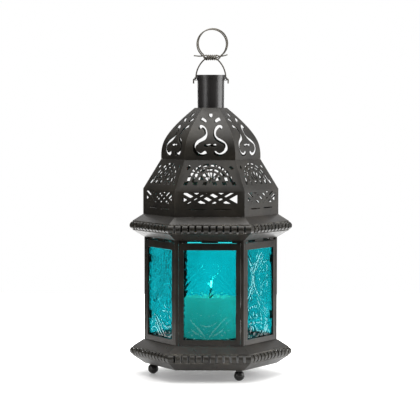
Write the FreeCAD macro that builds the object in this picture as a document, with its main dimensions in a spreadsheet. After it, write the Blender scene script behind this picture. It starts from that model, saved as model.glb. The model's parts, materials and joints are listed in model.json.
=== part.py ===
import FreeCAD, Part
import math
import os
import Sketcher
from FreeCAD import Placement, Rotation, Vector

# A six-sided metal lantern. Its axis is Z and it stands on z = 0. Two corners of every
# hexagon lie on the X axis, so one flat side faces -Y. Side 1 is that front side, and the
# others follow it anticlockwise seen from above. Side 4, at the back, is the door.

SIDES = 6
DOOR_SIDE = 4
TURN = 360.0 / SIDES
COS30 = math.cos(math.radians(30))
SIN30 = 0.5
TAN30 = math.tan(math.radians(30))
FIT_GAP = 0.1            # between pieces that lie against each other

doc = FreeCAD.newDocument("Lantern")

# ---------------------------------------------------------------- driving dimensions
DIMENSIONS = [
    # corner radii of the hexagons
    ("body_corner", 51.8, "outer corner radius of the glazed body"),
    ("rim_corner", 52.7, "corner radius where a skirt meets the body or the crown"),
    ("skirt_corner", 61.0, "corner radius where a skirt meets its slotted band"),
    ("dome_corner", 38.7, "corner radius at the foot of the dome"),
    # levels above the table
    ("base_low", 8.5, "lower edge of the base"),
    ("base_band", 18.2, "middle of the base's slotted band"),
    ("floor_top", 27.2, "top of the floor plate"),
    ("frame_top", 105.4, "top of the panel frames"),
    ("eave_low", 107.5, "lower edge of the eave"),
    ("eave_band", 116.4, "middle of the eave's slotted band"),
    ("crown_low", 125.3, "foot of the crown's upright part"),
    ("crown_bend", 145.1, "bend between the crown's upright and sloping parts"),
    ("dome_low", 168.1, "foot of the dome"),
    ("chimney_low", 203.4, "lower end of the chimney, inside the dome"),
    ("chimney_top", 233.4, "rim of the chimney"),
    ("pivot_level", 230.2, "pivot of the bail"),
    ("bail_top", 246.9, "middle of the bail's wire at its top"),
    # sheet and plates
    ("sheet", 0.9, "thickness of the folded sheet in the slotted bands"),
    ("pierced_wall", 0.6, "thickness of the pierced crown and dome sheets"),
    ("skirt_wall", 1.1, "wall of a skirt, measured along a corner radius"),
    ("plate", 0.8, "thickness of the base plate and floor plate"),
    ("frame_plate", 1.2, "thickness of the posts and panel frames"),
    ("post_leg", 2.3, "width of a corner post on each side"),
    ("frame_half", 23.4, "half the width of a panel frame"),
    ("window_half", 19.9, "half the width of a window"),
    ("window_low", 31.5, "lower edge of a window"),
    ("window_top", 100.1, "upper edge of a window"),
    ("glass_half", 21.2, "half the width of a glass pane"),
    ("glass_lap", 1.8, "how far a pane runs past its window, above and below"),
    ("glass_thick", 2.6, "thickness of a glass pane"),
    ("glass_recess", 1.35, "depth of a pane behind the face of its frame"),
    # slotted bands
    ("band_half", 3.1, "half the height of a band's round bead"),
    ("band_rim", 0.5, "height of a band's flat rim"),
    ("band_bulge", 2.1, "how far the bead stands out"),
    ("slot_pitch", 5.3, "distance from slot to slot"),
    ("slot_width", 1.7, "width of a slot"),
    ("slot_height", 5.8, "height of a slot"),
    # feet
    ("foot_circle", 45.0, "distance of the feet from the axis"),
    ("ball_radius", 4.1, "radius of a ball foot"),
    ("ball_level", 4.0, "middle of a ball foot"),
    ("stud_radius", 1.5, "radius of a foot's screw"),
    ("stud_hole", 1.6, "radius of its hole in the base plate"),
    # candle
    ("cup_radius", 21.6, "outer radius of the candle cup"),
    ("cup_height", 2.2, "height of the candle cup"),
    ("wax_radius", 20.6, "radius of the candle"),
    ("wax_height", 32.8, "height of the candle"),
    ("wick_radius", 0.7, "radius of the wick"),
    ("wick_height", 5.5, "height of the wick above the wax"),
    # chimney and hanging gear
    ("chimney_radius", 10.35, "outer radius of the chimney at the dome"),
    ("chimney_wall", 0.6, "wall of the chimney"),
    ("collar_radius", 10.95, "outer radius of the chimney's collar"),
    ("collar_height", 2.7, "height of the collar"),
    ("wire_radius", 0.55, "radius of the bail's and ring's wire"),
    ("wire_bend", 0.65, "radius of the bail's small bends"),
    ("leg_offset", 11.6, "distance of the bail's legs from the axis"),
    ("tip_offset", 13.45, "distance of the bail's tips from the axis"),
    ("tip_level", 226.7, "end of the bail's tips"),
    ("ear_inner", 12.3, "inner face of an ear"),
    ("ear_plate", 0.4, "thickness of an ear"),
    ("ear_half", 1.7, "half the width of an ear"),
    ("ring_radius", 11.95, "radius of the hanging ring to the middle of its wire"),
    ("ring_drop", 2.0, "how far the ring's lowest wire hangs under the bail's"),
    ("ring_half_gap", 1.7, "distance of each turn of the ring from the bail's plane"),
    ("ring_end_gap", 2.9, "distance of each end of the ring from the bail's plane"),
    # door fittings
    ("hinge_out", 1.6, "distance of the hinge axis outside the door's face"),
    ("knuckle_radius", 1.3, "outer radius of a hinge knuckle"),
    ("pin_radius", 0.55, "radius of a hinge pin"),
    ("pin_clearance", 0.05, "running clearance round a hinge pin"),
    ("knuckle_height", 3.0, "height of one hinge knuckle"),
]

sheet = doc.addObject("Spreadsheet::Sheet", "Sizes")
for row, (alias, number, note) in enumerate(DIMENSIONS, start=1):
    sheet.set("A%d" % row, alias)
    sheet.set("B%d" % row, str(number))
    sheet.setAlias("B%d" % row, alias)
    sheet.set("C%d" % row, note)
doc.recompute()


class Size:
    """A length from the sheet: its number now, and the expression that binds it."""

    def __init__(self, number, text):
        self.number = number
        self.text = text

    def _join(self, other, sign, number, swap=False):
        mine, theirs = self.text, text_of(other)
        if swap:
            mine, theirs = theirs, mine
        return Size(number, "(%s %s %s)" % (mine, sign, theirs))

    def __add__(self, other):
        return self._join(other, "+", self.number + number_of(other))

    def __radd__(self, other):
        return self._join(other, "+", number_of(other) + self.number, swap=True)

    def __sub__(self, other):
        return self._join(other, "-", self.number - number_of(other))

    def __rsub__(self, other):
        return self._join(other, "-", number_of(other) - self.number, swap=True)

    def __mul__(self, other):
        return self._join(other, "*", self.number * number_of(other))

    def __rmul__(self, other):
        return self._join(other, "*", number_of(other) * self.number, swap=True)

    def __truediv__(self, other):
        return self._join(other, "/", self.number / number_of(other))

    def __neg__(self):
        return Size(-self.number, "(-1 * %s)" % self.text)

    def __float__(self):
        return float(self.number)


def number_of(value):
    return value.number if isinstance(value, Size) else float(value)


def text_of(value):
    return value.text if isinstance(value, Size) else "%.6f" % value


def cell(alias):
    return Size(float(sheet.get(alias)), "Sizes." + alias)


def size(alias):
    """The plain number in a cell, for shapes made by Part's functions."""
    return float(sheet.get(alias))


nodes = []


def keep(thing):
    """Marks an object as a sub-part, which gets a file of its own."""
    nodes.append(thing)
    return thing


# ---------------------------------------------------------------- sketch and body helpers
def new_body(label, quarter=0):
    """A body that is turned about the lantern's axis by a number of sides."""
    body = doc.addObject("PartDesign::Body", label)
    body.Label = label
    body.Placement = Placement(Vector(0, 0, 0), Rotation(Vector(0, 0, 1), quarter * TURN))
    return keep(body)


def new_sketch(body, role, name, offset=0):
    sketch = body.newObject("Sketcher::SketchObject", name)
    plane = next(item for item in body.Origin.OriginFeatures if item.Role == role)
    sketch.AttachmentSupport = [(plane, "")]
    sketch.MapMode = "FlatFace"
    sketch.AttachmentOffset = Placement(Vector(0, 0, number_of(offset)), Rotation())
    if isinstance(offset, Size):
        sketch.setExpression(".AttachmentOffset.Base.z", offset.text)
    return sketch


def hold(sketch, kind, first, value):
    """Binds one coordinate of a point, given as (geometry, place), to a value."""
    number = number_of(value)
    if abs(number) < 1e-9:
        sketch.addConstraint(Sketcher.Constraint("PointOnObject", *first, -2 if kind == "DistanceX" else -1))
        return
    origin = (-1, 1)
    ends = (origin + first) if number > 0 else (first + origin)
    index = sketch.addConstraint(Sketcher.Constraint(kind, *ends, abs(number)))
    if isinstance(value, Size):
        text = value.text if number > 0 else "(-1 * %s)" % value.text
        sketch.setExpression("Constraints[%d]" % index, text)


def outline(sketch, points):
    """A closed chain of straight edges, every corner bound to its two coordinates."""
    first = sketch.GeometryCount
    flat = [Vector(number_of(x), number_of(y), 0) for x, y in points]
    for index, start in enumerate(flat):
        sketch.addGeometry(Part.LineSegment(start, flat[(index + 1) % len(flat)]), False)
    for index in range(len(flat)):
        following = first + (index + 1) % len(flat)
        sketch.addConstraint(Sketcher.Constraint("Coincident", first + index, 2, following, 1))
    for index, (x, y) in enumerate(points):
        hold(sketch, "DistanceX", (first + index, 1), x)
        hold(sketch, "DistanceY", (first + index, 1), y)


def rectangle(sketch, half, low, high):
    outline(sketch, [(-half, low), (half, low), (half, high), (-half, high)])


def hexagon(sketch, corner):
    """A hexagon with two corners on the X axis."""
    directions = [(1, 0), (SIN30, COS30), (-SIN30, COS30), (-1, 0), (-SIN30, -COS30), (SIN30, -COS30)]
    outline(sketch, [(corner * x, corner * y) for x, y in directions])


def circle(sketch, x, y, radius):
    index = sketch.addGeometry(Part.Circle(Vector(number_of(x), number_of(y), 0), Vector(0, 0, 1),
                                           number_of(radius)), False)
    hold(sketch, "DistanceX", (index, 3), x)
    hold(sketch, "DistanceY", (index, 3), y)
    bound = sketch.addConstraint(Sketcher.Constraint("Radius", index, number_of(radius)))
    if isinstance(radius, Size):
        sketch.setExpression("Constraints[%d]" % bound, radius.text)


def set_length(feature, value):
    feature.Length = number_of(value)
    if isinstance(value, Size):
        feature.setExpression("Length", value.text)


def pad(body, sketch, length, name="Pad"):
    feature = body.newObject("PartDesign::Pad", name)
    feature.Profile = sketch
    set_length(feature, length)
    sketch.Visibility = False
    return feature


def pocket_through(body, sketch, name="Pocket"):
    feature = body.newObject("PartDesign::Pocket", name)
    feature.Profile = sketch
    feature.SideType = "Symmetric"
    feature.Type = "ThroughAll"
    return feature


def revolve(body, sketch, name="Revolution"):
    feature = body.newObject("PartDesign::Revolution", name)
    feature.Profile = sketch
    feature.ReferenceAxis = (sketch, ["V_Axis"])
    feature.Angle = 360.0
    return feature


def loft(body, kind, low, high, name):
    feature = body.newObject("PartDesign::" + kind, name)
    feature.Profile = low
    feature.Sections = [high]
    feature.Ruled = True
    return feature


def part_feature(label, shape, quarter=0):
    """A sub-part made by Part's own functions, turned by a number of sides."""
    feature = doc.addObject("Part::Feature", label)
    feature.Label = label
    feature.Shape = shape
    feature.Placement = Placement(Vector(0, 0, 0), Rotation(Vector(0, 0, 1), quarter * TURN))
    return keep(feature)


# ---------------------------------------------------------------- base
def hex_plate(label, corner, low):
    body = new_body(label)
    sketch = new_sketch(body, "XY_Plane", label + "_outline", low)
    hexagon(sketch, corner)
    pad(body, sketch, cell("plate"), label + "_pad")
    return body


def skirt(label, low_level, low_corner, high_level, high_corner):
    """A folded six-sided sheet that slopes between two levels, open above and below."""
    body = new_body(label)
    wall = cell("skirt_wall")
    hexagons = {}
    for side, inset in (("outer", 0), ("inner", wall)):
        for end, level, corner in (("low", low_level, low_corner), ("high", high_level, high_corner)):
            sketch = new_sketch(body, "XY_Plane", "%s_%s_%s" % (label, side, end), level)
            hexagon(sketch, corner - inset)
            hexagons[side, end] = sketch
    loft(body, "AdditiveLoft", hexagons["outer", "low"], hexagons["outer", "high"], label + "_outside")
    loft(body, "SubtractiveLoft", hexagons["inner", "low"], hexagons["inner", "high"], label + "_inside")
    return body


def sector(low, high, reach=80.0, gap=0.0):
    """The sixth of space in front of the axis, between two levels, less a gap at each side."""
    corner = reach * TAN30
    trim = gap / COS30
    points = [Vector(0, -trim * 2, low), Vector(corner - trim, -reach, low), Vector(-corner + trim, -reach, low)]
    face = Part.Face(Part.makePolygon(points + [points[0]]))
    return face.extrude(Vector(0, 0, high - low))


def slotted_band(label, level):
    """A band with a round bead, pierced by upright slots, round all six sides."""
    half = size("band_half")
    rim = size("band_rim")
    bulge = size("band_bulge")
    sheet_wall = size("sheet")
    flat = size("skirt_corner") * COS30

    def edge(inset):
        out = flat - inset
        low, high = level - half, level + half
        return [Vector(0, -out, low - rim), Vector(0, -out, low), Vector(0, -out - bulge, level),
                Vector(0, -out, high), Vector(0, -out, high + rim)]

    outer, inner = edge(0), edge(sheet_wall)
    section = Part.Wire([
        Part.makeLine(outer[0], outer[1]), Part.Arc(outer[1], outer[2], outer[3]).toShape(),
        Part.makeLine(outer[3], outer[4]), Part.makeLine(outer[4], inner[4]),
        Part.makeLine(inner[4], inner[3]), Part.Arc(inner[3], inner[2], inner[1]).toShape(),
        Part.makeLine(inner[1], inner[0]), Part.makeLine(inner[0], outer[0])])
    reach = size("skirt_corner")
    face = Part.Face(section)
    face.translate(Vector(-reach, 0, 0))
    side = face.extrude(Vector(2 * reach, 0, 0))
    side = side.common(sector(level - 2 * half, level + 2 * half))
    width, height = size("slot_width"), size("slot_height")
    per_side = int(2 * (flat * TAN30 - width) / size("slot_pitch")) // 2
    for place in range(-per_side, per_side + 1):
        left = place * size("slot_pitch") - width / 2
        slot = Part.makeBox(width, 8 * sheet_wall, height,
                            Vector(left, -flat - bulge - sheet_wall, level - height / 2))
        side = side.cut(slot)
    ring = side
    for turn in range(1, SIDES):
        copy = side.copy()
        copy.rotate(Vector(0, 0, 0), Vector(0, 0, 1), turn * TURN)
        ring = ring.fuse(copy)
    return part_feature(label, ring.removeSplitter())


def flange(prefix, low, low_corner, middle, high, high_corner):
    """Two skirts with a slotted band between them."""
    edge = cell("band_half") + cell("band_rim") + FIT_GAP / 2
    skirt(prefix + "_lower_skirt", low, low_corner, middle - edge, cell("skirt_corner"))
    slotted_band(prefix + "_slotted_band", number_of(middle))
    skirt(prefix + "_upper_skirt", middle + edge, cell("skirt_corner"), high, high_corner)


flange("base", cell("base_low"), cell("body_corner"), cell("base_band"), cell("floor_top"), cell("rim_corner"))

base_plate = hex_plate("base_plate", cell("body_corner") - cell("skirt_wall") - FIT_GAP, cell("base_low"))
doc.recompute()
hole_sketch = new_sketch(base_plate, "XY_Plane", "foot_hole")
circle(hole_sketch, -cell("foot_circle"), 0, cell("stud_hole"))
foot_hole = pocket_through(base_plate, hole_sketch, "foot_hole_pocket")
foot_holes = base_plate.newObject("PartDesign::PolarPattern", "foot_holes")
foot_holes.Originals = [foot_hole]
foot_holes.Axis = (hole_sketch, ["N_Axis"])
foot_holes.Angle = 360.0
foot_holes.Occurrences = 3
base_plate.Tip = foot_holes

hex_plate("floor_plate", cell("rim_corner") - cell("skirt_wall") - FIT_GAP, cell("floor_top") - cell("plate"))


def primitive(kind, name, place, **sizes):
    """A Part primitive whose sizes and level are bound to the sheet."""
    thing = doc.addObject("Part::" + kind, name)
    for key, value in sizes.items():
        setattr(thing, key, number_of(value))
        if isinstance(value, Size):
            thing.setExpression(key, value.text)
    thing.Placement = Placement(Vector(*[number_of(item) for item in place]), Rotation())
    for letter, item in zip("xyz", place):
        if isinstance(item, Size):
            thing.setExpression(".Placement.Base." + letter, item.text)
    return thing


def boolean(kind, name, base, tool):
    thing = doc.addObject("Part::" + kind, name)
    thing.Base = base
    thing.Tool = tool
    return thing


def ball_foot(number):
    """A turned ball with a neck and a screw, flat where it rests."""
    turn = Rotation(Vector(0, 0, 1), 180 + (number - 1) * 120)
    name = "ball_foot_%d" % number
    out = cell("foot_circle")
    neck_top = cell("base_low") - FIT_GAP / 2
    ball = primitive("Sphere", name + "_ball", (out, 0, cell("ball_level")), Radius=cell("ball_radius"))
    rest = primitive("Box", name + "_rest", (out - 10, -10, 0), Length=20, Width=20, Height=20)
    neck = primitive("Cylinder", name + "_neck", (out, 0, cell("ball_level")),
                     Radius=cell("ball_radius") * 0.62, Height=neck_top - cell("ball_level"))
    stud = primitive("Cylinder", name + "_stud", (out, 0, cell("ball_level")),
                     Radius=cell("stud_radius"), Height=cell("base_low") + 4.2 - cell("ball_level"))
    flat_ball = boolean("Common", name + "_flat", ball, rest)
    body = boolean("Fuse", name + "_turned", flat_ball, neck)
    foot = boolean("Fuse", name, body, stud)
    foot.Label = name
    foot.Placement = Placement(Vector(0, 0, 0), turn)
    return keep(foot)


for number in (1, 2, 3):
    ball_foot(number)

NUT_RADIUS = 2.9
NUT_HEIGHT = 2.2


def foot_nuts():
    """The three nuts that hold the feet, on top of the base plate."""
    low = size("base_low") + size("plate") + FIT_GAP / 2
    out = size("foot_circle")
    nuts = []
    for turn in (180, 300, 60):
        points = [Vector(out + NUT_RADIUS * math.cos(math.radians(angle)),
                         NUT_RADIUS * math.sin(math.radians(angle)), low) for angle in range(0, 361, 60)]
        nut = Part.Face(Part.makePolygon(points)).extrude(Vector(0, 0, NUT_HEIGHT))
        nut = nut.cut(Part.makeCylinder(size("stud_hole"), NUT_HEIGHT * 3, Vector(out, 0, low - NUT_HEIGHT)))
        nut.rotate(Vector(0, 0, 0), Vector(0, 0, 1), turn)
        nuts.append(nut)
    return part_feature("foot_nuts", Part.makeCompound(nuts))


foot_nuts()


# ---------------------------------------------------------------- candle
def turned(label, points):
    """A turned piece from its half section, given as radius and height."""
    body = new_body(label)
    sketch = new_sketch(body, "XZ_Plane", label + "_section")
    outline(sketch, points)
    revolve(body, sketch, label + "_revolution")
    return body


CUP_WALL = 0.8
CUP_LIP = 1.2
cup_low = cell("floor_top") + FIT_GAP / 2
cup_top = cup_low + cell("cup_height")
turned("candle_cup", [
    (0, cup_low), (cell("cup_radius"), cup_low), (cell("cup_radius"), cup_top - CUP_WALL),
    (cell("cup_radius") + CUP_LIP, cup_top - CUP_WALL), (cell("cup_radius") + CUP_LIP, cup_top),
    (cell("cup_radius") - CUP_WALL, cup_top), (cell("cup_radius") - CUP_WALL, cup_low + CUP_WALL),
    (0, cup_low + CUP_WALL)])
wax_low = cup_low + CUP_WALL + FIT_GAP / 2
wax_top = wax_low + cell("wax_height")
WAX_SHOULDER = 1.5
WAX_DISH = 8.0
wick_foot = wax_top - 6.0
turned("candle_wax", [
    (0, wax_low), (cell("wax_radius"), wax_low), (cell("wax_radius"), wax_top - WAX_SHOULDER),
    (cell("wax_radius") - WAX_SHOULDER, wax_top), (WAX_DISH, wax_top - 1.0),
    (cell("wick_radius") + 0.05, wax_top - WAX_SHOULDER), (cell("wick_radius") + 0.05, wick_foot), (0, wick_foot)])
turned("candle_wick", [
    (0, wick_foot), (cell("wick_radius"), wick_foot),
    (cell("wick_radius"), wax_top + cell("wick_height") - 0.4),
    (cell("wick_radius") * 0.5, wax_top + cell("wick_height")), (0, wax_top + cell("wick_height"))])

# ---------------------------------------------------------------- glazed body
flat = cell("body_corner") * COS30


def corner_post(number):
    """An angle whose two narrow legs cover the corner between two sides."""
    body = new_body("corner_post_%d" % number, number - 1)
    sketch = new_sketch(body, "XY_Plane", "post_section_%d" % number, cell("floor_top") + FIT_GAP / 2)
    corner, leg, wall = cell("body_corner"), cell("post_leg"), cell("frame_plate")
    inner = corner - wall / COS30
    points = [(corner * SIN30, -corner * COS30),
              (corner * SIN30 + leg * SIN30, -corner * COS30 + leg * COS30),
              (corner * SIN30 + leg * SIN30 - wall * COS30, -corner * COS30 + leg * COS30 + wall * SIN30),
              (inner * SIN30, -inner * COS30),
              (corner * SIN30 - leg, -flat + wall),
              (corner * SIN30 - leg, -flat)]
    outline(sketch, points)
    pad(body, sketch, cell("eave_low") - cell("floor_top") - FIT_GAP, "post_pad_%d" % number)


def panel_frame(number):
    """A flat frame round one window; the one at the back is the door's."""
    label = "door_frame" if number == DOOR_SIDE else "panel_frame_%d" % number
    body = new_body(label, number - 1)
    sketch = new_sketch(body, "XZ_Plane", label + "_face", flat - cell("frame_plate"))
    rectangle(sketch, cell("frame_half"), cell("floor_top") + FIT_GAP, cell("frame_top") - FIT_GAP)
    rectangle(sketch, cell("window_half"), cell("window_low"), cell("window_top"))
    pad(body, sketch, cell("frame_plate"), label + "_pad")


def glass_pane(number):
    label = "door_glass" if number == DOOR_SIDE else "glass_pane_%d" % number
    body = new_body(label, number - 1)
    back = flat - cell("glass_recess") - cell("glass_thick")
    sketch = new_sketch(body, "XZ_Plane", label + "_face", back)
    rectangle(sketch, cell("glass_half"), cell("window_low") - cell("glass_lap"),
              cell("window_top") + cell("glass_lap"))
    pad(body, sketch, cell("glass_thick"), label + "_pad")


for number in range(1, SIDES + 1):
    corner_post(number)
for number in range(1, SIDES + 1):
    panel_frame(number)
for number in range(1, SIDES + 1):
    glass_pane(number)

CLIP_WALL = 0.45
CLIP_HEIGHT = 6.0
CLIP_LEVELS = (44.0, 87.6)


def clip_group(label, sides):
    """The small bent tabs that hold each pane against the back of its frame."""
    edge = size("glass_half") + FIT_GAP
    face = size("body_corner") * COS30
    front = face - size("frame_plate")
    back = face - size("glass_recess") - size("glass_thick") - FIT_GAP
    points = [(edge, -front), (edge + CLIP_WALL, -front), (edge + CLIP_WALL, -back + CLIP_WALL),
              (edge - 1.6, -back + CLIP_WALL), (edge - 1.6, -back), (edge, -back)]
    clips = []
    for side in sides:
        for hand in (1, -1):
            for level in CLIP_LEVELS:
                corners = [Vector(hand * x, y, level) for x, y in points]
                clip = Part.Face(Part.makePolygon(corners + [corners[0]])).extrude(Vector(0, 0, CLIP_HEIGHT))
                clip.rotate(Vector(0, 0, 0), Vector(0, 0, 1), (side - 1) * TURN)
                clips.append(clip)
    return part_feature(label, Part.makeCompound(clips))


clip_group("glass_clips", [side for side in range(1, SIDES + 1) if side != DOOR_SIDE])
clip_group("door_glass_clips", [DOOR_SIDE])

# ---------------------------------------------------------------- door fittings
# These are drawn on the front side and turned to the back with the door, so -X here is +X there.
HINGE_LEVELS = (42.0, 90.6)
LEAF_WALL = 0.5
LEAF_REACH = 2.3
hinge_x = -(size("frame_half") + FIT_GAP)
hinge_y = -(size("body_corner") * COS30 + size("hinge_out"))


def hinge_leaf(level, count, first, hand):
    """Knuckles round the hinge axis, with a leaf that lies on the door (1) or the post (-1)."""
    step = size("knuckle_height")
    bore = size("pin_radius") + size("pin_clearance")
    low = level - 1.5 * step
    face = -(size("body_corner") * COS30)
    solid = None
    for place in range(first, 3, 2)[:count]:
        bottom = low + place * step + FIT_GAP / 2
        tall = step - FIT_GAP
        knuckle = Part.makeCylinder(size("knuckle_radius"), tall, Vector(hinge_x, hinge_y, bottom))
        inner = 0.3 if hand > 0 else -0.3
        left = min(hinge_x + inner, hinge_x + hand * LEAF_REACH)
        wide = abs(hand * LEAF_REACH - inner)
        web = Part.makeBox(wide, LEAF_WALL, tall, Vector(left, face - LEAF_WALL - FIT_GAP / 2, bottom))
        piece = knuckle.fuse(web)
        solid = piece if solid is None else solid.fuse(piece)
    if count > 1:
        left = hinge_x + hand * LEAF_REACH - (LEAF_WALL * 2 if hand > 0 else 0)
        spine = Part.makeBox(LEAF_WALL * 2, LEAF_WALL, 3 * step - FIT_GAP,
                             Vector(left, face - LEAF_WALL - FIT_GAP / 2, low + FIT_GAP / 2))
        solid = solid.fuse(spine)
    hole = Part.makeCylinder(bore, 4 * step, Vector(hinge_x, hinge_y, low - step / 2))
    return solid.cut(hole).removeSplitter()


def hinge_pin(level):
    step = size("knuckle_height")
    pin = Part.makeCylinder(size("pin_radius"), 3 * step + 1.0, Vector(hinge_x, hinge_y, level - 1.5 * step - 0.5))
    head = Part.makeCylinder(size("knuckle_radius") * 0.85, 0.5, Vector(hinge_x, hinge_y, level + 1.5 * step + 0.05))
    return pin.fuse(head).removeSplitter()


for place, level in zip(("lower", "upper"), HINGE_LEVELS):
    part_feature(place + "_hinge_post_leaf", hinge_leaf(level, 2, 0, -1), DOOR_SIDE - 1)
    part_feature(place + "_hinge_door_leaf", hinge_leaf(level, 1, 1, 1), DOOR_SIDE - 1)
part_feature("hinge_pins", Part.makeCompound([hinge_pin(level) for level in HINGE_LEVELS]), DOOR_SIDE - 1)

KNOB_LEVEL = 66.0
knob_body = new_body("door_knob", DOOR_SIDE - 1)
knob_sketch = new_sketch(knob_body, "XY_Plane", "knob_section")
knob_x = 21.65
knob_face = -flat - FIT_GAP / 2
outline(knob_sketch, [(0, knob_face), (1.5, knob_face), (1.5, knob_face - 0.7), (0.8, knob_face - 1.3),
                      (0.8, knob_face - 2.6), (1.9, knob_face - 3.4), (2.2, knob_face - 4.6),
                      (1.5, knob_face - 5.6), (0, knob_face - 5.9)])
revolve(knob_body, knob_sketch, "knob_revolution")
knob_body.Placement = Placement(Vector(-knob_x, 0, KNOB_LEVEL), Rotation(Vector(0, 0, 1), (DOOR_SIDE - 1) * TURN))

CATCH_HALF = 4.0
tongue_left = 21.75
door_back = size("body_corner") * COS30 - size("frame_plate")
tongue = Part.makeBox(0.5, 4.2, 2 * CATCH_HALF, Vector(tongue_left, -door_back, KNOB_LEVEL - CATCH_HALF))
part_feature("door_tongue", tongue, DOOR_SIDE - 1)
leaf_left = tongue_left + 0.5 + 0.5
catch_leaf = Part.makeBox(0.4, 4.6, 2 * CATCH_HALF,
                          Vector(leaf_left, -door_back + FIT_GAP, KNOB_LEVEL - CATCH_HALF))
catch_foot = Part.makeBox(2.2, 0.4, 2 * CATCH_HALF,
                          Vector(leaf_left, -door_back + FIT_GAP, KNOB_LEVEL - CATCH_HALF))
part_feature("door_catch", catch_leaf.fuse(catch_foot).removeSplitter(), DOOR_SIDE - 1)

# ---------------------------------------------------------------- eave and vent ring
VENT_NEAR, VENT_FAR = 6.3, 16.9
vent = new_body("vent_ring")
vent_sketch = new_sketch(vent, "XY_Plane", "vent_outline", cell("frame_top"))
vent_corner = cell("body_corner") - cell("frame_plate") / COS30 - FIT_GAP
hexagon(vent_sketch, vent_corner)
hexagon(vent_sketch, vent_corner - 1.2)
pad(vent, vent_sketch, cell("eave_low") - cell("frame_top") - FIT_GAP / 2, "vent_pad")
doc.recompute()
slot_sketch = new_sketch(vent, "XZ_Plane", "vent_slots")
vent_low, vent_high = cell("frame_top") + 0.3, cell("eave_low") - 0.35
for near, far in ((VENT_NEAR, VENT_FAR), (-VENT_FAR, -VENT_NEAR)):
    outline(slot_sketch, [(near, vent_low), (far, vent_low), (far, vent_high), (near, vent_high)])
vent_pocket = pocket_through(vent, slot_sketch, "vent_slot_pocket")
vent_pattern = vent.newObject("PartDesign::PolarPattern", "vent_pattern")
vent_pattern.Originals = [vent_pocket]
vent_pattern.Axis = (vent_sketch, ["N_Axis"])
vent_pattern.Angle = 360.0
vent_pattern.Occurrences = SIDES
vent.Tip = vent_pattern

flange("eave", cell("eave_low"), cell("body_corner") + 0.3, cell("eave_band"), cell("crown_low"), cell("rim_corner"))


# ---------------------------------------------------------------- crown panels
def prism(points, depth=60.0):
    """A flat outline given as distance across and level, run back through the front side."""
    corners = [Vector(x, -depth, z) for x, z in points]
    return Part.Face(Part.makePolygon(corners + [corners[0]])).extrude(Vector(0, depth, 0))


def side_sheet(section, low, high):
    """A sheet with the given section (distance out, level), trimmed to one side."""
    reach = size("skirt_corner")
    face = Part.Face(section)
    face.translate(Vector(-reach, 0, 0))
    solid = face.extrude(Vector(2 * reach, 0, 0))
    return solid.common(sector(low, high, gap=0.02))


# A trellis: foot and head of its window, half its width, the level at which its bars are placed,
# the places of the falling and of the rising bars, and the width of a bar.
FRONT_TRELLIS = (135.3, 143.6, 20.8, 139.45, (-16.4, -7.1, 2.2, 11.5), (-12.8, -6.7, 5.7, 13.2), 2.5)
# The rear windows reach lower and have thinner bars, so that daylight shows through the whole of the front ones.
REAR_TRELLIS = (131.0, 143.6, 22.4, 135.0, (-12.4, -4.4, 8.7, 15.2), (-10.6, -0.7, 9.2, 19.0), 1.2)
REAR_SIDES = (3, 4, 5)
TRELLIS_SLOPE = 1.795


def trellis_holes(trellis):
    """A window in the crown's upright part, less the crossing bars that fill it."""
    low, high, half, level, falling, rising, width = trellis
    window = prism([(-half, low), (half, low), (half, high), (-half, high)])
    reach = width / 2 * math.hypot(1, TRELLIS_SLOPE)
    for middles, slope in ((falling, -TRELLIS_SLOPE), (rising, TRELLIS_SLOPE)):
        for middle in middles:
            foot, head = middle + slope * (low - level), middle + slope * (high - level)
            window = window.cut(prism([(foot - reach, low), (foot + reach, low),
                                       (head + reach, high), (head - reach, high)]))
    return window


def dash(across, level, length, width, angle, skew=0.35):
    """A slanted four-cornered hole."""
    turn = math.radians(angle)
    along = (math.cos(turn), math.sin(turn))
    side = (-along[1], along[0])
    points = []
    for run, rise in ((-1, -1), (1, -1), (1, 1), (-1, 1)):
        forward = run * length / 2 + rise * width / 2 * skew
        points.append((across + forward * along[0] + rise * width / 2 * side[0],
                       level + forward * along[1] + rise * width / 2 * side[1]))
    return prism(points)


def wedge_hole(across, level, angle, near, far, width):
    """A petal-shaped hole that points at a centre and widens away from it."""
    turn = math.radians(angle)
    along = (math.cos(turn), math.sin(turn))
    side = (-along[1], along[0])
    points = []
    for reach, half in ((near, 0.25), (far - 0.6, width / 2), (far, width / 2.6)):
        points.append((across + along[0] * reach + side[0] * half, level + along[1] * reach + side[1] * half))
    for reach, half in ((far, width / 2.6), (far - 0.6, width / 2), (near, 0.25)):
        points.append((across + along[0] * reach - side[0] * half, level + along[1] * reach - side[1] * half))
    return prism(points)


FAN_LEVEL = 149.6
# The fan's rays: angle from upright, start, end, width.
FAN_RAYS = [(0, 1.4, 9.2, 3.3), (26, 3.7, 9.4, 3.4), (54, 5.7, 9.6, 3.6)]
# The arcs of dashes: radius, angles from upright, length, width.
FAN_ARCS = [(11.75, (0, 24, 48, 72), 3.9, 1.9), (14.85, (10.5, 31.5, 52.5, 73.5), 4.2, 1.9)]
FAN_SPREAD = 1.12
FAN_CORNER = (16.2, 162.4, 3.2, 2.0, -42)
FOOT_ROW = (3.65, 10.95, 18.25)
FOOT_ROW_LEVEL = 150.7


def fan_holes():
    """The pierced fan of the crown's sloping part: rays, two arcs of dashes, corner holes, a foot row."""
    holes = []
    for hand in (1, -1):
        for angle, near, far, width in FAN_RAYS:
            if angle or hand > 0:
                holes.append(wedge_hole(0, FAN_LEVEL, 90 + hand * angle, near, far, width))
        for radius, angles, length, width in FAN_ARCS:
            for angle in angles:
                if angle or hand > 0:
                    turn = math.radians(90 + hand * angle)
                    holes.append(dash(radius * FAN_SPREAD * math.cos(turn), FAN_LEVEL + radius * math.sin(turn),
                                      length, width, hand * angle))
        across, level, length, width, angle = FAN_CORNER
        holes.append(dash(hand * across, level, length, width, hand * angle))
        for place in FOOT_ROW:
            holes.append(dash(hand * place, FOOT_ROW_LEVEL, 3.1, 2.7, 0, -0.4 * hand))
    return holes


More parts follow.
